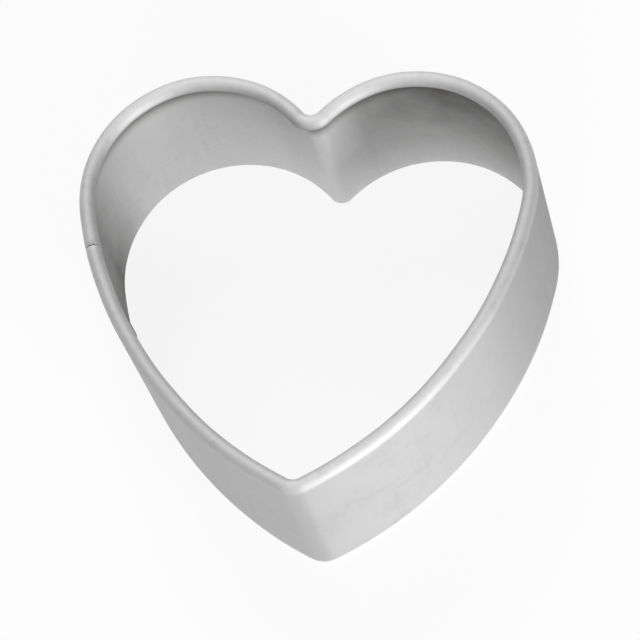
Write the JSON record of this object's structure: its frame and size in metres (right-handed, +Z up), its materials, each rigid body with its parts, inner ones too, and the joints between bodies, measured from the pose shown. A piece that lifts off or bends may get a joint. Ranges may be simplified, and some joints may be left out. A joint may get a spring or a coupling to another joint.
{
  "type": "heart cookie cutter",
  "caption": "Open heart-shaped band of satin sheet steel with a ground cutting edge below and a rim rolled over a wire above, for cutting dough.",
  "frame": {"origin": "on the plane of the cutting edge, under the middle of the heart's bounding box", "axes": "+Z up towards the rolled rim, +Y from the heart's tip towards its cleft, +X across the lobes"},
  "size_m": [0.052, 0.0502, 0.0254],
  "materials": {
    "satin_steel": "satin rolled stainless sheet",
    "wire_steel": "drawn steel wire",
    "weld_steel": "spot-weld mark pressed by the electrodes"
  },
  "bodies": {
    "root": {"band": "satin_steel", "rim_wire": "wire_steel", "seam_welds": "weld_steel"}
  },
  "joints": []
}
